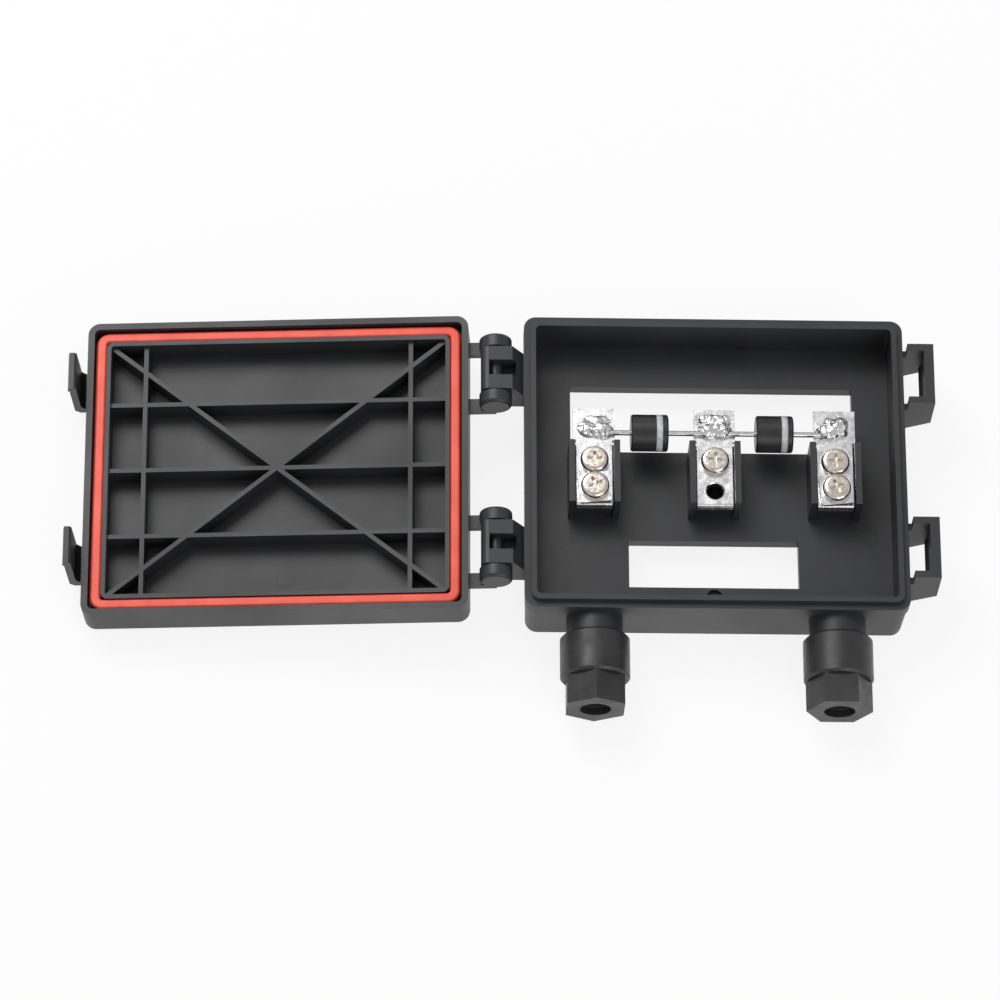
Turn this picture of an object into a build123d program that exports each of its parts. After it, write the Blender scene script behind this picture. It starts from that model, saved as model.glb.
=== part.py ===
"""Solar-panel junction box with its lid swung open: housing, lid, rail terminals, bypass diodes, cable glands.

Millimetres, +Z up. The origin is the centre of the housing's glued back face. The lid hinges at -X, the
latches are at +X and the glands point to -Y. The lid's pieces are drawn shut and then swung open.
"""
from build123d import *
from math import asin, atan2, degrees, hypot
import os

# ---- housing ----
HOUSING_L = 92.8          # body, along X
HOUSING_W = 76.4          # body, along Y
LEDGE_Z = 18.0            # top of the flange that the lid lands on
WALL = 2.6
CORNER_R = 3.0
DRAFT = 0.3               # how much narrower each side is at the back face
FLANGE_PROUD = 0.3
FLANGE_H = 4.0
LIP_T = 1.3               # raised lip that presses on the gasket
LIP_H = 1.5
FLOOR_TOP = 6.6
FLOOR_T = 2.2
COLLAR_T = 1.2            # dam round each ribbon cut-out, under the floor
COLLAR_Z = 3.3
RIB_T = 1.4               # ribs under the floor, that reach the back face
SLOT_HALF_L, SLOT_Y0, SLOT_Y1 = 34.9, 7.4, 24.9            # large ribbon cut-out
PORT_HALF_L, PORT_Y0, PORT_Y1 = 20.8, -28.5, -16.2         # small ribbon cut-out
DIMPLE_R, DIMPLE_DEPTH, DIMPLE_Y = 2.0, 1.2, -31.0

# ---- lid ----
LID_DEPTH = 10.3          # rim to outer face
LID_TOP_T = 2.0
LID_WALL = 1.6
LID_GAP = 0.3             # rim to flange when shut
GASKET_T = 2.6
GASKET_INSET = 0.4        # play between the gasket and the lid's outer wall
RING_T = 1.1              # inner wall that holds the gasket
RING_SHORT = 1.0          # how far the inner wall stops before the rim
LID_RIB_T = 1.1
LID_RIB_SHORT = 2.2       # how far the ribs stop before the rim
LID_RIB_X = 32.7
LID_RIB_Y = 17.5

# ---- hinges ----
HINGE_REACH = 7.3         # hinge axis to the body's side wall
HINGE_Y = 23.1
KNUCKLE_R = 4.0
KNUCKLE_L = 3.3
HINGE_BLOCK_L = 11.3
HINGE_PLAY = 0.3
BAR_R = 1.7
BAR_FIT = 0.08
ARM_T = 2.0

# ---- latches ----
LATCH_L = 16.0            # stirrup, along Y
LATCH_TOP_Z = 21.0
LATCH_REACH = 5.2         # body wall to the stirrup's outer plate
LATCH_PLATE_T = 2.4
LATCH_SIDE_T = 1.8
LATCH_NOTCH = 1.2         # gap that clears the lid's wall, above the joint to the housing
CATCH_H = 2.0
CATCH_Z = 13.7
CATCH_PROUD = 0.7
TONGUE_L = 9.5
TONGUE_T = 1.7
TONGUE_DROP = 7.0         # tip below the rim
TONGUE_PLAY = 0.3

# ---- terminals ----
TERMINAL_PITCH = 29.5
PLATE_TOP_Z = 15.0
PLATE_T = 1.0
TAB_W, TAB_Y1 = 10.2, 15.3
PLATE_W, PLATE_Y0, WAIST_Y = 8.7, -10.4, 6.7
FRONT_LIP_H = 2.3
SCREW_FIX_Y, SCREW_CLAMP_Y = 1.3, -6.3
RAIL_T, RAIL_TOP_Z, RAIL_GAP = 1.5, 17.5, 0.4
SADDLE_Y1 = 6.0
SCREW_R = 2.0             # M4
SCREW_FIT = 0.08
HEAD_R, HEAD_H = 3.5, 2.2
FIX_LEN, CLAMP_LEN = 6.0, 7.6
POCKET_R, POCKET_PLAY = 3.0, 0.9              # well under each clamp screw, and its room below the tip
CLAMP_LIFT = 0.8          # how far the clamp washers stand off their plates
WASHER_L, WASHER_T = 7.8, 0.9
WASHER_TURN = 6.0

# ---- diodes ----
DIODE_R, DIODE_L = 4.55, 9.1
LEAD_R = 0.65
DIODE_SHIFT = (-1.25, -0.15)       # each diode, off the middle of its bay
DIODE_Y = 8.6

# ---- glands ----
GLAND_X = TERMINAL_PITCH
GLAND_Z = 9.2
NECK_R, NECK_BORE_R = 6.2, 4.0
NECK_COLLAR_R, NECK_COLLAR_L = 6.9, 4.6
NECK_L = 14.0             # wall to the neck's mouth
NUT_FIT = 0.1
NUT_R, NUT_BARREL_L, NUT_HEX_L = 8.5, 10.9, 7.5
NUT_HEX_AF = 14.0
NUT_BORE_R, NUT_END_T = 3.8, 1.8
SEAL_R, SEAL_BORE_R = 5.8, 3.3
SEAL_PLAY = 0.1
NUT_TURNS = {"left": 30.0, "right": 0.0}      # how each nut's hexagon stands


def rounded_block(length, width, radius, z0, z1):
    """A box centred on the Z axis with rounded upright corners."""
    return Pos(0, 0, z0) * extrude(RectangleRounded(length, width, radius), z1 - z0)


def box_between(x0, x1, y0, y1, z0, z1):
    """A plain box from its limits."""
    return Pos((x0 + x1) / 2, (y0 + y1) / 2, (z0 + z1) / 2) * Box(x1 - x0, y1 - y0, z1 - z0)


def rod_along_y(radius, x, z, y0, y1):
    """A round bar between two Y values."""
    return Pos(x, (y0 + y1) / 2, z) * Rot(90, 0, 0) * Cylinder(radius, abs(y1 - y0))


def rod_along_x(radius, y, z, x0, x1):
    """A round bar between two X values."""
    return Pos((x0 + x1) / 2, y, z) * Rot(0, 90, 0) * Cylinder(radius, abs(x1 - x0))


def side_profile(points, y0, y1):
    """A plate between two Y values with the outline given as X, Z points."""
    outline = make_face(Polyline(*points, close=True))
    return Plane.XZ.offset(-y1) * extrude(outline, y1 - y0)


# ---- places worked out from the sizes above ----
INNER_L = HOUSING_L - 2 * WALL
INNER_W = HOUSING_W - 2 * WALL
WALL_X = HOUSING_L / 2
FRONT_Y = -HOUSING_W / 2
FLANGE_L = HOUSING_L + 2 * FLANGE_PROUD
FLANGE_W = HOUSING_W + 2 * FLANGE_PROUD
LID_L = FLANGE_L + 2 * FLANGE_PROUD
LID_W = FLANGE_W + 2 * FLANGE_PROUD
RIM_Z = LEDGE_Z + LID_GAP
LID_Z = RIM_Z + LID_DEPTH
CEILING_Z = LID_Z - LID_TOP_T
HINGE_X = -(WALL_X + HINGE_REACH)
HINGE_Z = RIM_Z
GASKET_OUTER_L = LID_L - 2 * (LID_WALL + GASKET_INSET)
GASKET_OUTER_W = LID_W - 2 * (LID_WALL + GASKET_INSET)
GASKET_Z0 = LEDGE_Z + LIP_H + 0.1
GASKET_Z1 = GASKET_Z0 + GASKET_T
FAR_EDGE = LID_L / 2 - HINGE_X
LID_DROOP = degrees(asin(HINGE_Z / hypot(FAR_EDGE, LID_DEPTH)) - atan2(LID_DEPTH, FAR_EDGE))
OPEN_ANGLE = 180 + LID_DROOP
HINGE_SIDES = (HINGE_Y, -HINGE_Y)
DIODE_X = (DIODE_SHIFT[0] - TERMINAL_PITCH / 2, DIODE_SHIFT[1] + TERMINAL_PITCH / 2)
TERMINALS = {"left": -TERMINAL_PITCH, "middle": 0.0, "right": TERMINAL_PITCH}
CLAMPED = {side: TERMINALS[side] for side in ("left", "right")}
PLATE_Z0 = PLATE_TOP_Z - PLATE_T
POCKET_Z = PLATE_TOP_Z + WASHER_T - CLAMP_LEN - POCKET_PLAY
SADDLE_Y0 = PLATE_Y0 + PLATE_T
LEAD_Z = PLATE_TOP_Z + LEAD_R
STIRRUP_X0 = WALL_X + LATCH_REACH
STIRRUP_X1 = STIRRUP_X0 + LATCH_PLATE_T
TONGUE_X1 = STIRRUP_X0 - CATCH_PROUD - TONGUE_PLAY
NUT_Y0 = FRONT_Y - NECK_COLLAR_L - 0.3
NUT_Y1 = NUT_Y0 - NUT_BARREL_L
NUT_Y2 = NUT_Y1 - NUT_HEX_L
NECK_Y = FRONT_Y - NECK_L


def swing_open(shape):
    """Turns a lid piece from shut to its resting place, with its far edge on the table."""
    return shape.rotate(Axis((HINGE_X, 0, HINGE_Z), (0, 1, 0)), -OPEN_ANGLE)


def ring_wall(length, width, radius, thickness, z0, z1):
    """An upright wall round a rectangle, given by its outer size."""
    hole = rounded_block(length - 2 * thickness, width - 2 * thickness,
                         max(radius - thickness, 0.6), z0 - 1, z1 + 1)
    return rounded_block(length, width, radius, z0, z1) - hole


def hinge_block(y_mid):
    """The housing's half of one hinge: a block that snaps over the lid's bar, with a core-out window."""
    x0, x1 = HINGE_X - KNUCKLE_R + 0.4, -WALL_X + 0.5
    z0, z1 = HINGE_Z - KNUCKLE_R + 0.3, HINGE_Z + KNUCKLE_R - 0.3
    foot_z = z0 - 3.6
    points = [(x0, z0), (HINGE_X + 1.5, z0), (HINGE_X + 3.6, foot_z), (x1, foot_z), (x1, RIM_Z - 0.7),
              (HINGE_X + 6.8, RIM_Z - 0.7), (HINGE_X + KNUCKLE_R, z1), (x0, z1)]
    block = side_profile(points, y_mid - HINGE_BLOCK_L / 2, y_mid + HINGE_BLOCK_L / 2)
    outer_edges = block.edges().filter_by(Axis.Y).group_by(Axis.X)[0]
    block = fillet(outer_edges, 1.8)
    block -= rod_along_y(BAR_R + BAR_FIT, HINGE_X, HINGE_Z, y_mid - HINGE_BLOCK_L, y_mid + HINGE_BLOCK_L)
    block -= box_between(HINGE_X - BAR_R + 0.3, HINGE_X + BAR_R - 0.3, y_mid - HINGE_BLOCK_L,
                         y_mid + HINGE_BLOCK_L, z0 - 1, HINGE_Z)
    return block - box_between(HINGE_X - BAR_R, HINGE_X + 4.9, y_mid - 2.0, y_mid + 2.0, HINGE_Z - 1.5, z1 + 1)


def latch_stirrup(y_mid):
    """One latch loop: two gusset sides, an outer plate and the catch that holds the lid's tongue."""
    x0, x1 = WALL_X - 0.5, STIRRUP_X1
    step_x, step_z = WALL_X + LATCH_NOTCH, LATCH_TOP_Z - 4.4
    points = [(x0, 4.6), (x1, 9.3), (x1, LATCH_TOP_Z), (step_x, LATCH_TOP_Z), (step_x, step_z), (x0, step_z)]
    sides = []
    for way in (-1, 1):
        ya = y_mid + way * LATCH_L / 2
        yb = ya - way * LATCH_SIDE_T
        sides.append(side_profile(points, min(ya, yb), max(ya, yb)))
    y0, y1 = y_mid - LATCH_L / 2, y_mid + LATCH_L / 2
    plate = box_between(STIRRUP_X0, x1, y0, y1, 9.3, LATCH_TOP_Z)
    hook = [(STIRRUP_X0 + 0.5, CATCH_Z), (STIRRUP_X0 - CATCH_PROUD, CATCH_Z),
            (STIRRUP_X0, CATCH_Z + CATCH_H), (STIRRUP_X0 + 0.5, CATCH_Z + CATCH_H)]
    catch = side_profile(hook, y_mid - TONGUE_L / 2, y_mid + TONGUE_L / 2)
    return sides[0] + sides[1] + plate + catch


def terminal_saddle(x):
    """The moulded seat under one terminal plate, between two guide rails, and the holes for its screws."""
    half = PLATE_W / 2 + RAIL_GAP
    seat = box_between(x - half, x + half, SADDLE_Y0, SADDLE_Y1, FLOOR_TOP - 0.5, PLATE_Z0)
    for way in (-1, 1):
        xa, xb = x + way * half, x + way * (half + RAIL_T)
        seat += box_between(min(xa, xb), max(xa, xb), PLATE_Y0, SADDLE_Y1, FLOOR_TOP - 0.5, RAIL_TOP_Z)
    pocket = Pos(x, SCREW_CLAMP_Y, (POCKET_Z + PLATE_Z0 + 1) / 2)
    pocket *= Cylinder(POCKET_R, PLATE_Z0 + 1 - POCKET_Z)
    pilot_z = PLATE_TOP_Z - FIX_LEN - 0.6
    pilot = Pos(x, SCREW_FIX_Y, (pilot_z + PLATE_Z0 + 1) / 2)
    pilot *= Cylinder(SCREW_R + SCREW_FIT, PLATE_Z0 + 1 - pilot_z)
    return seat, pocket + pilot


def housing():
    """The moulded housing with its floor, ribbon cut-outs, saddles, necks, hinge blocks and latches."""
    back = RectangleRounded(HOUSING_L - 2 * DRAFT, HOUSING_W - 2 * DRAFT, CORNER_R)
    top = Pos(0, 0, LEDGE_Z - FLANGE_H) * RectangleRounded(HOUSING_L, HOUSING_W, CORNER_R)
    body = loft([back, top])
    body += rounded_block(FLANGE_L, FLANGE_W, CORNER_R, LEDGE_Z - FLANGE_H, LEDGE_Z)
    body += rounded_block(INNER_L + 2 * LIP_T, INNER_W + 2 * LIP_T, CORNER_R - 1, LEDGE_Z - 1, LEDGE_Z + LIP_H)
    for side in TERMINALS.values():
        if side:
            body += rod_along_y(NECK_R, side, GLAND_Z, NECK_Y, FRONT_Y + 1)
            body += rod_along_y(NECK_COLLAR_R, side, GLAND_Z, FRONT_Y - NECK_COLLAR_L, FRONT_Y + 1)
    for y_mid in HINGE_SIDES:
        body += hinge_block(y_mid)
        body += latch_stirrup(y_mid)
    body -= rounded_block(INNER_L, INNER_W, 1.2, FLOOR_TOP, LEDGE_Z + LIP_H + 1)
    body -= rounded_block(INNER_L, INNER_W, 1.2, -1, FLOOR_TOP - FLOOR_T)
    under_top = FLOOR_TOP - FLOOR_T + 0.5
    for y in (0, PORT_Y1 + 4.0):
        body += box_between(-INNER_L / 2 - 0.5, INNER_L / 2 + 0.5, y - RIB_T / 2, y + RIB_T / 2, 0, under_top)
    for half, y0, y1 in ((SLOT_HALF_L, SLOT_Y0, SLOT_Y1), (PORT_HALF_L, PORT_Y0, PORT_Y1)):
        body += box_between(-half - COLLAR_T, half + COLLAR_T, y0 - COLLAR_T, y1 + COLLAR_T, COLLAR_Z, under_top)
        body -= box_between(-half, half, y0, y1, -1, FLOOR_TOP + 1)
    for x in TERMINALS.values():
        seat, holes = terminal_saddle(x)
        body = body + seat - holes
        if x:
            body -= rod_along_y(NECK_BORE_R, x, GLAND_Z, NECK_Y - 1, FRONT_Y + WALL + 1)
    body -= Pos(0, DIMPLE_Y, FLOOR_TOP) * Cylinder(DIMPLE_R, 2 * DIMPLE_DEPTH)
    return body


def lid_ribs():
    """The stiffening ribs inside the lid: two across, three along and both diagonals."""
    half_l = GASKET_OUTER_L / 2 - GASKET_T - RING_T / 2
    half_w = GASKET_OUTER_W / 2 - GASKET_T - RING_T / 2
    z0, z1 = RIM_Z + LID_RIB_SHORT, CEILING_Z + 0.5
    ribs = []
    for x in (-LID_RIB_X, LID_RIB_X):
        ribs.append(box_between(x - LID_RIB_T / 2, x + LID_RIB_T / 2, -half_w, half_w, z0, z1))
    for y in (-LID_RIB_Y, 0, LID_RIB_Y):
        ribs.append(box_between(-half_l, half_l, y - LID_RIB_T / 2, y + LID_RIB_T / 2, z0, z1))
    slant = degrees(atan2(half_w, half_l))
    for way in (-1, 1):
        ribs.append(Pos(0, 0, (z0 + z1) / 2) * Rot(0, 0, way * slant)
                    * Box(2 * hypot(half_l, half_w), LID_RIB_T, z1 - z0))
    return ribs


def lid_tongue(y_mid):
    """One hooked tongue on the lid's far edge, that snaps under a latch's catch."""
    x0, x1 = TONGUE_X1 - TONGUE_T, TONGUE_X1
    tip = RIM_Z - TONGUE_DROP
    barb_top = CATCH_Z - 0.3
    top = RIM_Z + LID_DEPTH - 2.5
    root = LID_L / 2 - 0.5
    points = [(root, top), (root, top - 2.0), (x0 - 1.0, top - 2.0), (x0, top - 3.4), (x0, tip + 0.6),
              (x0 + 0.5, tip), (x1, tip), (x1 + CATCH_PROUD - 0.3, barb_top - 0.4),
              (x1 + CATCH_PROUD - 0.3, barb_top), (x1, barb_top), (x1, top - 1.2), (x1 - 1.2, top)]
    return side_profile(points, y_mid - TONGUE_L / 2, y_mid + TONGUE_L / 2)


def lid_hinge(y_mid):
    """The lid's half of one hinge: two capped knuckles on arms, joined by the bar they turn on."""
    inner = HINGE_BLOCK_L / 2 + HINGE_PLAY
    outer = inner + KNUCKLE_L
    half = rod_along_y(BAR_R, HINGE_X, HINGE_Z, y_mid - inner - 1, y_mid + inner + 1)
    for way in (-1, 1):
        ya, yb = sorted((y_mid + way * inner, y_mid + way * outer))
        knuckle = rod_along_y(KNUCKLE_R, HINGE_X, HINGE_Z, ya, yb)
        end = knuckle.edges().filter_by(GeomType.CIRCLE).sort_by(Axis.Y)[-1 if way > 0 else 0]
        knuckle = fillet(end, 0.9)
        arm_z1 = HINGE_Z + KNUCKLE_R
        arm = box_between(HINGE_X, -LID_L / 2 + 0.5, ya, yb, arm_z1 - ARM_T, arm_z1)
        half += knuckle + arm
    return half


def lid():
    """The moulded lid, drawn shut: shell, gasket channel, ribs, hinge knuckles and latch tongues."""
    shell = rounded_block(LID_L, LID_W, CORNER_R, RIM_Z, LID_Z)
    shell = fillet(shell.faces().sort_by(Axis.Z)[-1].edges(), 1.2)
    shell -= rounded_block(LID_L - 2 * LID_WALL, LID_W - 2 * LID_WALL, CORNER_R - LID_WALL, RIM_Z - 1, GASKET_Z1)
    inner_l = GASKET_OUTER_L - 2 * GASKET_T
    inner_w = GASKET_OUTER_W - 2 * GASKET_T
    shell += ring_wall(inner_l, inner_w, 1.8, RING_T, RIM_Z + RING_SHORT, GASKET_Z1 + 0.5)
    shell -= rounded_block(inner_l - 2 * RING_T, inner_w - 2 * RING_T, 0.7, RIM_Z - 1, CEILING_Z)
    for rib in lid_ribs():
        shell += rib
    for y_mid in HINGE_SIDES:
        shell += lid_hinge(y_mid)
        shell += lid_tongue(y_mid)
    return swing_open(shell)


def gasket():
    """The round-sectioned sealing cord in the lid's channel."""
    ring = ring_wall(GASKET_OUTER_L, GASKET_OUTER_W, 3.2, GASKET_T, GASKET_Z0, GASKET_Z1)
    rims = ring.faces().filter_by(Axis.Z)
    ring = fillet(rims.edges(), 0.25 * GASKET_T)
    return swing_open(ring)


def terminal_plate(x):
    """One tinned terminal plate: solder tab, waist, two screw holes and a lip bent over the saddle."""
    plate = box_between(x - TAB_W / 2, x + TAB_W / 2, WAIST_Y, TAB_Y1, PLATE_Z0, PLATE_TOP_Z)
    plate += box_between(x - PLATE_W / 2, x + PLATE_W / 2, PLATE_Y0, WAIST_Y, PLATE_Z0, PLATE_TOP_Z)
    plate += box_between(x - PLATE_W / 2, x + PLATE_W / 2, PLATE_Y0, PLATE_Y0 + PLATE_T,
                         PLATE_TOP_Z - FRONT_LIP_H, PLATE_TOP_Z)
    front = plate.edges().filter_by(Axis.X).sort_by(lambda e: e.center().Y - e.center().Z)[0]
    plate = fillet(front, 0.7)
    collar_z = PLATE_Z0 - 1.4
    plate += Pos(x, SCREW_CLAMP_Y, (collar_z + PLATE_Z0) / 2) * Cylinder(SCREW_R + 0.7, PLATE_Z0 - collar_z)
    for y in (SCREW_FIX_Y, SCREW_CLAMP_Y):
        plate -= Pos(x, y, PLATE_Z0) * Cylinder(SCREW_R + SCREW_FIT, 12)
    mouth = Pos(x, SCREW_CLAMP_Y, PLATE_TOP_Z - 0.15) * Cone(SCREW_R, SCREW_R + 0.45, 0.45)
    return plate - mouth


def pan_screw(length):
    """A cross-recess pan-head screw, with the underside of its head at z = 0."""
    head = Cylinder(HEAD_R, HEAD_H, align=(Align.CENTER, Align.CENTER, Align.MIN))
    head = fillet(head.faces().sort_by(Axis.Z)[-1].edges(), 1.1)
    shank = Pos(0, 0, -length) * Cylinder(SCREW_R, length, align=(Align.CENTER, Align.CENTER, Align.MIN))
    shank = chamfer(shank.faces().sort_by(Axis.Z)[0].edges(), 0.5)
    cross = Pos(0, 0, HEAD_H) * (Box(3.6, 0.8, 2.4) + Box(0.8, 3.6, 2.4))
    return head + shank - cross


def clamp_washer():
    """The square washer held under a clamp screw's head."""
    plate = extrude(RectangleRounded(WASHER_L, WASHER_L, 0.5), WASHER_T)
    return plate - Cylinder(SCREW_R + 0.35, 4)


def diode_body(x):
    """The moulded body of one axial diode, bored for its leads."""
    x0, x1 = x - DIODE_L / 2, x + DIODE_L / 2
    body = rod_along_x(DIODE_R, DIODE_Y, LEAD_Z, x0, x1)
    body = chamfer(body.edges().filter_by(GeomType.CIRCLE), 0.35)
    return body - rod_along_x(LEAD_R, DIODE_Y, LEAD_Z, x0 - 1, x1 + 1)


def diode_leads(x, tab_left, tab_right):
    """The diode's two leads: each runs out from the body's end and lies on its tab."""
    lead = rod_along_x(LEAD_R, DIODE_Y, LEAD_Z, x - DIODE_L / 2 + 1.5, tab_left + 0.8)
    other = rod_along_x(LEAD_R, DIODE_Y, LEAD_Z, x + DIODE_L / 2 - 1.5, tab_right - 0.8)
    return Compound([lead, other])


def solder(x, leads):
    """The solder mound on one tab, drawn over the ends of the leads that reach it."""
    y_mid = (WAIST_Y + TAB_Y1) / 2 - 0.4
    mound = Pos(x, y_mid, PLATE_TOP_Z - 1.7) * Sphere(4.6)
    mound = mound & box_between(x - 4.9, x + 4.9, WAIST_Y + 0.3, TAB_Y1 - 0.4, PLATE_TOP_Z, PLATE_TOP_Z + 6)
    for lead in leads:
        mound -= lead
    return mound


def gland_nut(x, turn):
    """One gland nut: a round skirt over the neck and a hexagon with the cable hole."""
    skirt = rod_along_y(NUT_R, x, GLAND_Z, NUT_Y0, NUT_Y1)
    skirt = chamfer(skirt.edges().filter_by(GeomType.CIRCLE), 0.6)
    hexagon = extrude(RegularPolygon(NUT_HEX_AF / 2, 6, major_radius=False), NUT_HEX_L + 1)
    hexagon = Pos(x, NUT_Y1 + 1, GLAND_Z) * Rot(90, 0, 0) * Rot(0, 0, turn) * hexagon
    nut = skirt + hexagon
    nut -= rod_along_y(NECK_R + NUT_FIT, x, GLAND_Z, NUT_Y0 + 1, NUT_Y2 + NUT_END_T)
    return nut - rod_along_y(NUT_BORE_R, x, GLAND_Z, NUT_Y2 - 1, NUT_Y1)


def gland_seal(x):
    """The rubber bush squeezed between the neck's mouth and the nut's end wall."""
    y0, y1 = NECK_Y - SEAL_PLAY, NUT_Y2 + NUT_END_T + SEAL_PLAY
    bush = rod_along_y(SEAL_R, x, GLAND_Z, y0, y1)
    bush = chamfer(bush.edges().filter_by(GeomType.CIRCLE), 0.5)
    return bush - rod_along_y(SEAL_BORE_R, x, GLAND_Z, y0 + 1, y1 - 1)


def build():
    """All pieces, by node name."""
    nodes = {"housing": housing(), "lid": lid(), "lid_gasket": gasket()}
    tabs = sorted(TERMINALS.values())
    leads = {"left": diode_leads(DIODE_X[0], tabs[0], tabs[1]),
             "right": diode_leads(DIODE_X[1], tabs[1], tabs[2])}
    reach = {"left": ["left"], "middle": ["left", "right"], "right": ["right"]}
    for side, x in TERMINALS.items():
        nodes[f"terminal_plate_{side}"] = terminal_plate(x)
        nodes[f"fixing_screw_{side}"] = Pos(x, SCREW_FIX_Y, PLATE_TOP_Z) * pan_screw(FIX_LEN)
        nodes[f"solder_{side}"] = solder(x, [leads[name] for name in reach[side]])
    for side, x in CLAMPED.items():
        seat_z = PLATE_TOP_Z + CLAMP_LIFT
        place = Pos(x, SCREW_CLAMP_Y, seat_z)
        nodes[f"clamp_washer_{side}"] = place * Rot(0, 0, WASHER_TURN) * clamp_washer()
        nodes[f"clamp_screw_{side}"] = place * Pos(0, 0, WASHER_T) * Rot(0, 0, 25) * pan_screw(CLAMP_LEN)
        nodes[f"gland_nut_{side}"] = gland_nut(x, NUT_TURNS[side])
        nodes[f"gland_seal_{side}"] = gland_seal(x)
    for side, x in zip(("left", "right"), DIODE_X):
        nodes[f"diode_body_{side}"] = diode_body(x)
        nodes[f"diode_leads_{side}"] = leads[side]
    return nodes


os.makedirs("parts", exist_ok=True)
for name, shape in build().items():
    export_step(shape, f"parts/{name}.step")
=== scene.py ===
import bpy
import bmesh
from math import radians
from mathutils import Euler, Matrix, Vector, noise


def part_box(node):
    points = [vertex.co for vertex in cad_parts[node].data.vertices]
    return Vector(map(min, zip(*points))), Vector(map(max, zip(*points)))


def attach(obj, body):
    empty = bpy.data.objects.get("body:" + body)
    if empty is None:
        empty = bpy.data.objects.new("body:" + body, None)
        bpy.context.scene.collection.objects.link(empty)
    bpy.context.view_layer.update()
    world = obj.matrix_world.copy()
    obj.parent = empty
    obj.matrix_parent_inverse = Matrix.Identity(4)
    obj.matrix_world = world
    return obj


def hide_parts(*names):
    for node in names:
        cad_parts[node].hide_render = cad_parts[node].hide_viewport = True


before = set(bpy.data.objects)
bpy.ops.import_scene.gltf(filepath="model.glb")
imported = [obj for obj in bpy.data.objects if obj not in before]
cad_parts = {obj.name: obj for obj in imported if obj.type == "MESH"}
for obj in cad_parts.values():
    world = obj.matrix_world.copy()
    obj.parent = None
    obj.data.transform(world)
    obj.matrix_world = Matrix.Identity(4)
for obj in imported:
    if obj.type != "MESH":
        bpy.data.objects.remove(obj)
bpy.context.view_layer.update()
sides = ("left", "middle", "right")
pair = ("left", "right")

# Housing and lid: two black injection mouldings in a weather-proof polymer. The tool's faces are
# spark-eroded, so the skin is a fine satin, and the ejector pins leave faint rings on both floors.
# The functions that mix a finish are shared with the pieces further down.
pin_radius, ring_half_width = 0.0021, 0.00016


def new_material(name, colour, roughness, metallic=0.0):
    """A principled material and its main shader."""
    material = bpy.data.materials.new(name)
    material.use_nodes = True
    shader = material.node_tree.nodes["Principled BSDF"]
    shader.inputs["Base Color"].default_value = (*colour, 1.0)
    shader.inputs["Roughness"].default_value = roughness
    shader.inputs["Metallic"].default_value = metallic
    return material, shader


def object_point(material):
    """The piece's own coordinates, in metres."""
    return material.node_tree.nodes.new("ShaderNodeTexCoord").outputs["Object"]


def noise_texture(material, scale, detail=3.0, distortion=0.0):
    """A noise pattern on the piece's own coordinates."""
    texture = material.node_tree.nodes.new("ShaderNodeTexNoise")
    texture.inputs["Scale"].default_value = scale
    texture.inputs["Detail"].default_value = detail
    texture.inputs["Distortion"].default_value = distortion
    material.node_tree.links.new(object_point(material), texture.inputs["Vector"])
    return texture.outputs["Fac"]


def spread(material, value, low, high, start=0.3, end=0.7):
    """Stretches a pattern's values to the range low to high."""
    node = material.node_tree.nodes.new("ShaderNodeMapRange")
    node.inputs["From Min"].default_value = start
    node.inputs["From Max"].default_value = end
    node.inputs["To Min"].default_value = low
    node.inputs["To Max"].default_value = high
    material.node_tree.links.new(value, node.inputs["Value"])
    return node.outputs["Result"]


def tint(material, shader, value, dark, light):
    """Colours the piece between two tones with a pattern."""
    node = material.node_tree.nodes.new("ShaderNodeMix")
    node.data_type = "RGBA"
    node.inputs["A"].default_value = (*dark, 1.0)
    node.inputs["B"].default_value = (*light, 1.0)
    material.node_tree.links.new(value, node.inputs["Factor"])
    material.node_tree.links.new(node.outputs["Result"], shader.inputs["Base Color"])


def raise_bump(material, shader, height, distance, strength=1.0, under=None):
    """Adds a relief of the given depth in metres, over another relief if there is one."""
    node = material.node_tree.nodes.new("ShaderNodeBump")
    node.inputs["Distance"].default_value = distance
    node.inputs["Strength"].default_value = strength
    material.node_tree.links.new(height, node.inputs["Height"])
    if under is not None:
        material.node_tree.links.new(under, node.inputs["Normal"])
    material.node_tree.links.new(node.outputs["Normal"], shader.inputs["Normal"])
    return node.outputs["Normal"]


def pin_rings(material, centres, radius):
    """A height that is 1 on a thin ring round each ejector pin's place and 0 elsewhere."""
    links = material.node_tree.links
    total = None
    for x, y in centres:
        flat = material.node_tree.nodes.new("ShaderNodeVectorMath")
        flat.operation = "MULTIPLY"
        flat.inputs[1].default_value = (1.0, 1.0, 0.0)
        links.new(object_point(material), flat.inputs[0])
        reach = material.node_tree.nodes.new("ShaderNodeVectorMath")
        reach.operation = "DISTANCE"
        reach.inputs[1].default_value = (x, y, 0.0)
        links.new(flat.outputs["Vector"], reach.inputs[0])
        ring = material.node_tree.nodes.new("ShaderNodeMath")
        ring.operation = "COMPARE"
        ring.inputs[1].default_value = radius
        ring.inputs[2].default_value = ring_half_width
        links.new(reach.outputs["Value"], ring.inputs[0])
        if total is None:
            total = ring.outputs["Value"]
            continue
        add = material.node_tree.nodes.new("ShaderNodeMath")
        add.operation = "MAXIMUM"
        links.new(total, add.inputs[0])
        links.new(ring.outputs["Value"], add.inputs[1])
        total = add.outputs["Value"]
    return total


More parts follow.
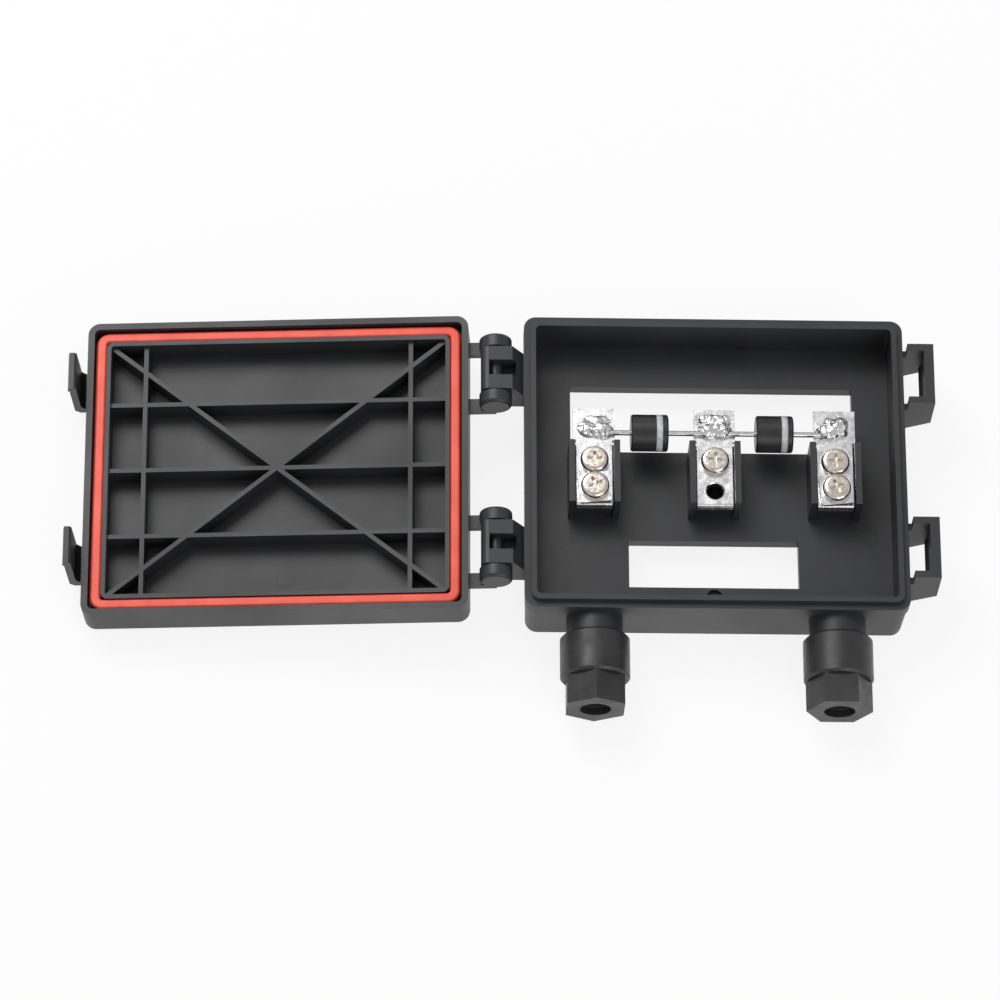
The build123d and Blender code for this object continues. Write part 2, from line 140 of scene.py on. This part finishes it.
def black_moulding(name, centres):
    """Satin black polymer with spark-eroded grain, slow sink waves and pin rings."""
    material, shader = new_material(name, (0.020, 0.021, 0.023), 0.42)
    tint(material, shader, spread(material, noise_texture(material, 60.0), 0.0, 1.0),
         (0.017, 0.018, 0.020), (0.026, 0.027, 0.030))
    worn = spread(material, noise_texture(material, 35.0, 4.0), 0.36, 0.50)
    material.node_tree.links.new(worn, shader.inputs["Roughness"])
    grain = raise_bump(material, shader, noise_texture(material, 5200.0, 2.0), 0.00003, 0.35)
    waves = raise_bump(material, shader, noise_texture(material, 90.0, 1.0), 0.00012, 0.35, grain)
    raise_bump(material, shader, pin_rings(material, centres, pin_radius), 0.00012, 0.5, waves)
    return material


def dress(node, material):
    """Gives a CAD node its finished material."""
    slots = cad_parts[node].data.materials
    slots.clear()
    slots.append(material)


housing_pins = ((-0.001, 0.030), (0.038, -0.015), (-0.038, 0.027), (-0.038, -0.020), (0.0385, 0.027))
lid_low, lid_high = (Vector(corner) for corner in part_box("lid"))
lid_mid_x = (lid_low.x + lid_high.x) / 2 - 0.0005
lid_pins = ((lid_mid_x, 0.027), (lid_mid_x, -0.027), (lid_mid_x - 0.038, 0.022), (lid_mid_x - 0.038, -0.024),
            (lid_mid_x + 0.0385, 0.022))
dress("housing", black_moulding("housing_polymer", housing_pins))
dress("lid", black_moulding("lid_polymer", lid_pins))

# Lid gasket: one soft cord of orange-red silicone pressed into the lid's channel, with a slightly
# cloudy skin where it has been handled.
silicone, silicone_shader = new_material("orange_silicone", (0.86, 0.075, 0.035), 0.38)
tint(silicone, silicone_shader, spread(silicone, noise_texture(silicone, 140.0), 0.0, 1.0),
     (0.76, 0.050, 0.022), (0.90, 0.095, 0.045))
silicone_shader.inputs["Subsurface Weight"].default_value = 0.15
silicone_shader.inputs["Subsurface Radius"].default_value = (0.002, 0.0006, 0.0004)
raise_bump(silicone, silicone_shader, noise_texture(silicone, 900.0, 2.0), 0.00004, 0.4)
dress("lid_gasket", silicone)

# Gland nuts: black polymer caps, glossier on the hexagon's flats where the tool has rubbed, with the
# moulded rubber seals inside them.
nut_polymer, nut_shader = new_material("nut_polymer", (0.018, 0.018, 0.019), 0.38)
tint(nut_polymer, nut_shader, spread(nut_polymer, noise_texture(nut_polymer, 120.0), 0.0, 1.0),
     (0.014, 0.014, 0.016), (0.026, 0.026, 0.028))
nut_worn = spread(nut_polymer, noise_texture(nut_polymer, 240.0, 4.0), 0.30, 0.50)
nut_polymer.node_tree.links.new(nut_worn, nut_shader.inputs["Roughness"])
nut_grain = raise_bump(nut_polymer, nut_shader, noise_texture(nut_polymer, 4200.0, 2.0), 0.00004, 0.4)
raise_bump(nut_polymer, nut_shader, noise_texture(nut_polymer, 260.0, 2.0), 0.00010, 0.4, nut_grain)
rubber, rubber_shader = new_material("black_rubber", (0.028, 0.028, 0.028), 0.75)
raise_bump(rubber, rubber_shader, noise_texture(rubber, 2500.0, 3.0), 0.00005, 0.5)
tint(rubber, rubber_shader, spread(rubber, noise_texture(rubber, 300.0), 0.0, 1.0),
     (0.022, 0.022, 0.022), (0.038, 0.037, 0.036))
for side in pair:
    dress("gland_nut_" + side, nut_polymer)
    dress("gland_seal_" + side, rubber)

# Terminal plates and clamp washers: copper strip, stamped and bent, then tin plated. The rolling leaves
# faint lines along the strip and the plating is a little mottled.
tin, tin_shader = new_material("tin_plate", (0.80, 0.80, 0.81), 0.22, 1.0)
tint(tin, tin_shader, spread(tin, noise_texture(tin, 420.0, 5.0), 0.0, 1.0),
     (0.62, 0.62, 0.64), (0.90, 0.90, 0.90))
tin_patch = spread(tin, noise_texture(tin, 650.0, 4.0, 0.6), 0.14, 0.36)
tin.node_tree.links.new(tin_patch, tin_shader.inputs["Roughness"])
roll_stretch = tin.node_tree.nodes.new("ShaderNodeMapping")
roll_stretch.inputs["Scale"].default_value = (9000.0, 350.0, 9000.0)
tin.node_tree.links.new(object_point(tin), roll_stretch.inputs["Vector"])
roll_lines = tin.node_tree.nodes.new("ShaderNodeTexNoise")
roll_lines.inputs["Scale"].default_value = 1.0
tin.node_tree.links.new(roll_stretch.outputs["Vector"], roll_lines.inputs["Vector"])
tin_lines = raise_bump(tin, tin_shader, roll_lines.outputs["Fac"], 0.000012, 0.5)
raise_bump(tin, tin_shader, noise_texture(tin, 500.0, 3.0), 0.00009, 0.6, tin_lines)
for side in sides:
    dress("terminal_plate_" + side, tin)
for side in pair:
    dress("clamp_washer_" + side, tin)

# Screws: steel M4 pan heads with a warm nickel plate, lightly marked round the cross recess.
nickel, nickel_shader = new_material("nickel_plate", (0.78, 0.70, 0.62), 0.2, 1.0)
tint(nickel, nickel_shader, spread(nickel, noise_texture(nickel, 700.0, 3.0), 0.0, 1.0),
     (0.66, 0.56, 0.47), (0.88, 0.84, 0.79))
nickel_worn = spread(nickel, noise_texture(nickel, 1500.0, 3.0), 0.12, 0.30)
nickel.node_tree.links.new(nickel_worn, nickel_shader.inputs["Roughness"])
raise_bump(nickel, nickel_shader, noise_texture(nickel, 1600.0, 2.0), 0.00003, 0.5)
for side in sides:
    dress("fixing_screw_" + side, nickel)
for side in pair:
    dress("clamp_screw_" + side, nickel)

# Diodes: black moulded epoxy barrels with tinned axial leads. A silver band is printed round the cathode
# end, just short of the barrel's edge.
epoxy, epoxy_shader = new_material("diode_epoxy", (0.016, 0.016, 0.017), 0.34)
tint(epoxy, epoxy_shader, spread(epoxy, noise_texture(epoxy, 260.0, 3.0), 0.0, 1.0),
     (0.012, 0.012, 0.013), (0.024, 0.024, 0.026))
raise_bump(epoxy, epoxy_shader, noise_texture(epoxy, 3000.0, 2.0), 0.00003, 0.5)
wire, wire_shader = new_material("tinned_wire", (0.84, 0.84, 0.85), 0.16, 1.0)
tint(wire, wire_shader, spread(wire, noise_texture(wire, 900.0, 3.0), 0.0, 1.0),
     (0.70, 0.70, 0.71), (0.92, 0.92, 0.92))
raise_bump(wire, wire_shader, noise_texture(wire, 1200.0, 2.0), 0.00003, 0.5)
band_ink, band_shader = new_material("band_ink", (0.50, 0.51, 0.53), 0.42)
tint(band_ink, band_shader, spread(band_ink, noise_texture(band_ink, 800.0, 3.0), 0.0, 1.0),
     (0.40, 0.41, 0.43), (0.60, 0.61, 0.63))
band_height = 0.00004
band_start, band_end = 0.0062, 0.0077
for side in pair:
    dress("diode_body_" + side, epoxy)
    dress("diode_leads_" + side, wire)
    low, high = (Vector(corner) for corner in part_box("diode_body_" + side))
    middle = (low + high) / 2
    barrel = bmesh.new()
    rim = bmesh.ops.create_circle(barrel, segments=96, radius=(high.z - low.z) / 2 + band_height)
    bmesh.ops.rotate(barrel, verts=rim["verts"], cent=(0, 0, 0), matrix=Matrix.Rotation(radians(90), 3, "Y"))
    bmesh.ops.translate(barrel, verts=rim["verts"], vec=(low.x + band_start, middle.y, middle.z))
    pulled = bmesh.ops.extrude_edge_only(barrel, edges=barrel.edges[:])
    moved = [part for part in pulled["geom"] if isinstance(part, bmesh.types.BMVert)]
    bmesh.ops.translate(barrel, verts=moved, vec=(band_end - band_start, 0, 0))
    bmesh.ops.recalc_face_normals(barrel, faces=barrel.faces[:])
    bmesh.ops.solidify(barrel, geom=barrel.faces[:], thickness=band_height)
    mesh = bpy.data.meshes.new("cathode_band_" + side)
    barrel.to_mesh(mesh)
    barrel.free()
    for face in mesh.polygons:
        face.use_smooth = True
    band = bpy.data.objects.new("cathode_band_" + side, mesh)
    bpy.context.scene.collection.objects.link(band)
    mesh.materials.append(band_ink)
    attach(band, "housing")

# Solder: each tab carries a mound of hand-run solder over the lead ends. It froze in lobes and drawn
# points, bright where it flowed and duller where it was dragged. The lobes are fused into one skin, which
# is then crumpled at two scales and cut off flat on the tab.
solder, solder_shader = new_material("solder", (0.86, 0.86, 0.87), 0.16, 1.0)
tint(solder, solder_shader, spread(solder, noise_texture(solder, 500.0, 4.0), 0.0, 1.0),
     (0.60, 0.60, 0.62), (0.95, 0.95, 0.95))
solder_dull = spread(solder, noise_texture(solder, 800.0, 4.0, 0.8), 0.08, 0.34)
solder.node_tree.links.new(solder_dull, solder_shader.inputs["Roughness"])
raise_bump(solder, solder_shader, noise_texture(solder, 1300.0, 4.0, 1.2), 0.00012, 0.6)
skin_step, foot_depth = 0.00011, 0.00004
coarse_crumple, fine_crumple = 0.00042, 0.00012
# Each lobe, in metres: its place in X and Y from the mound's middle, its spread in X and Y, and its height.
lobes = {
    "left": ((0.0016, -0.0016, 0.0032, 0.0021, 0.0022), (-0.0012, -0.0012, 0.0030, 0.0024, 0.0014),
             (0.0006, 0.0010, 0.0034, 0.0016, 0.0010), (-0.0024, -0.0020, 0.0012, 0.0012, 0.0013)),
    "middle": ((-0.0014, -0.0016, 0.0030, 0.0020, 0.0020), (0.0016, -0.0014, 0.0028, 0.0022, 0.0022),
               (0.0002, 0.0012, 0.0040, 0.0018, 0.0011), (-0.0026, 0.0014, 0.0014, 0.0014, 0.0009),
               (0.0026, 0.0016, 0.0012, 0.0013, 0.0010)),
    "right": ((-0.0014, -0.0015, 0.0034, 0.0021, 0.0022), (0.0010, -0.0004, 0.0026, 0.0028, 0.0019),
              (0.0014, 0.0014, 0.0020, 0.0014, 0.0012), (-0.0006, 0.0014, 0.0024, 0.0012, 0.0009)),
}
noise.seed_set(7)
for place, side in enumerate(sides):
    low, high = (Vector(corner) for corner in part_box("solder_" + side))
    middle = (low + high) / 2
    run = bmesh.new()
    for along, across, spread_x, spread_y, height in lobes[side]:
        lobe = bmesh.ops.create_icosphere(run, subdivisions=5, radius=1.0)
        bmesh.ops.scale(run, verts=lobe["verts"], vec=(spread_x, spread_y, height))
        bmesh.ops.translate(run, verts=lobe["verts"], vec=(middle.x + along, middle.y + across, low.z))
    mesh = bpy.data.meshes.new("solder_run_" + side)
    run.to_mesh(mesh)
    run.free()
    piece = bpy.data.objects.new("solder_run_" + side, mesh)
    bpy.context.scene.collection.objects.link(piece)
    remesh = piece.modifiers.new("fuse", "REMESH")
    remesh.mode = "VOXEL"
    remesh.voxel_size = skin_step
    evaluated = piece.evaluated_get(bpy.context.evaluated_depsgraph_get())
    fused = bpy.data.meshes.new_from_object(evaluated)
    piece.modifiers.clear()
    run = bmesh.new()
    run.from_mesh(fused)
    bmesh.ops.smooth_vert(run, verts=run.verts[:], factor=0.5,
                          use_axis_x=True, use_axis_y=True, use_axis_z=True)
    for vert in run.verts:
        here = vert.co * 620.0 + Vector((place * 9.0, 0.0, 0.0))
        fine = vert.co * 1700.0 + Vector((0.0, place * 7.0, 0.0))
        vert.co += noise.noise_vector(here) * coarse_crumple + noise.noise_vector(fine) * fine_crumple
    base = low.z - foot_depth
    bmesh.ops.bisect_plane(run, geom=run.verts[:] + run.edges[:] + run.faces[:], plane_co=(0, 0, base),
                           plane_no=(0, 0, 1), clear_inner=True)
    bmesh.ops.holes_fill(run, edges=[edge for edge in run.edges if edge.is_boundary], sides=0)
    bmesh.ops.recalc_face_normals(run, faces=run.faces[:])
    run.to_mesh(fused)
    run.free()
    for face in fused.polygons:
        face.use_smooth = True
    piece.data = fused
    fused.materials.clear()
    fused.materials.append(solder)
    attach(piece, "housing")
    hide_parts("solder_" + side)

# Floor: a white sheet under the object that keeps its soft shadow.
floor_mesh = bpy.data.meshes.new("floor")
sheet = bmesh.new()
bmesh.ops.create_grid(sheet, x_segments=1, y_segments=1, size=3.0)
bmesh.ops.translate(sheet, verts=sheet.verts[:], vec=(0, 0, -0.0002))
sheet.to_mesh(floor_mesh)
sheet.free()
floor = bpy.data.objects.new("floor", floor_mesh)
bpy.context.scene.collection.objects.link(floor)
paper, paper_shader = new_material("white_sheet", (0.86, 0.86, 0.86), 0.9)
paper_shader.inputs["Specular IOR Level"].default_value = 0.0
paper_nodes = paper.node_tree.nodes
glow = paper_nodes.new("ShaderNodeEmission")
glow.inputs["Strength"].default_value = 1.0
mix = paper_nodes.new("ShaderNodeMixShader")
rays = paper_nodes.new("ShaderNodeLightPath")
seen = paper_nodes.new("ShaderNodeMath")
seen.operation = "MAXIMUM"
clear = paper_nodes.new("ShaderNodeMath")
clear.operation = "MAXIMUM"
share = paper_nodes.new("ShaderNodeMath")
share.operation = "MULTIPLY"
share.inputs[1].default_value = 0.86
paper.node_tree.links.new(rays.outputs["Is Camera Ray"], seen.inputs[0])
paper.node_tree.links.new(rays.outputs["Is Glossy Ray"], seen.inputs[1])
paper.node_tree.links.new(seen.outputs["Value"], clear.inputs[0])
paper.node_tree.links.new(rays.outputs["Is Transmission Ray"], clear.inputs[1])
paper.node_tree.links.new(clear.outputs["Value"], share.inputs[0])
paper.node_tree.links.new(share.outputs["Value"], mix.inputs["Fac"])
paper.node_tree.links.new(paper_shader.outputs["BSDF"], mix.inputs[1])
paper.node_tree.links.new(glow.outputs["Emission"], mix.inputs[2])
paper.node_tree.links.new(mix.outputs["Shader"], paper_nodes["Material Output"].inputs["Surface"])
floor_mesh.materials.append(paper)

# Light: an even white room with one large soft box above and behind to the left, and a low fill in front.
room = bpy.data.worlds.new("studio")
room.use_nodes = True
room.node_tree.nodes["Background"].inputs["Color"].default_value = (1.0, 1.0, 1.0, 1.0)
room.node_tree.nodes["Background"].inputs["Strength"].default_value = 0.55
bpy.context.scene.world = room


def soft_box(name, place, aim, size, power):
    """A square area lamp turned towards a point."""
    lamp = bpy.data.lights.new(name, "AREA")
    lamp.size = size
    lamp.energy = power
    holder = bpy.data.objects.new(name, lamp)
    holder.location = place
    holder.rotation_euler = (Vector(aim) - Vector(place)).to_track_quat("-Z", "Y").to_euler()
    bpy.context.scene.collection.objects.link(holder)


soft_box("key", (-0.45, 0.55, 0.9), (-0.03, 0.0, 0.0), 0.7, 7.0)
soft_box("fill", (0.5, -0.9, 0.55), (-0.03, 0.0, 0.0), 0.8, 4.0)

# Camera: a long lens looking down from in front.
camera_data = bpy.data.cameras.new("camera")
camera_data.lens = 194.62
camera_data.sensor_width = 36.0
camera_data.clip_start = 0.05
camera = bpy.data.objects.new("camera", camera_data)
camera.location = (-0.09347, -0.52836, 1.22463)
turn = Matrix.Rotation(radians(23.222), 3, "X") @ Matrix.Rotation(radians(-1.779), 3, "Y")
camera.rotation_euler = (turn @ Matrix.Rotation(radians(0.622), 3, "Z")).to_euler()
bpy.context.scene.collection.objects.link(camera)
bpy.context.scene.camera = camera
bpy.context.scene.view_settings.view_transform = "Standard"
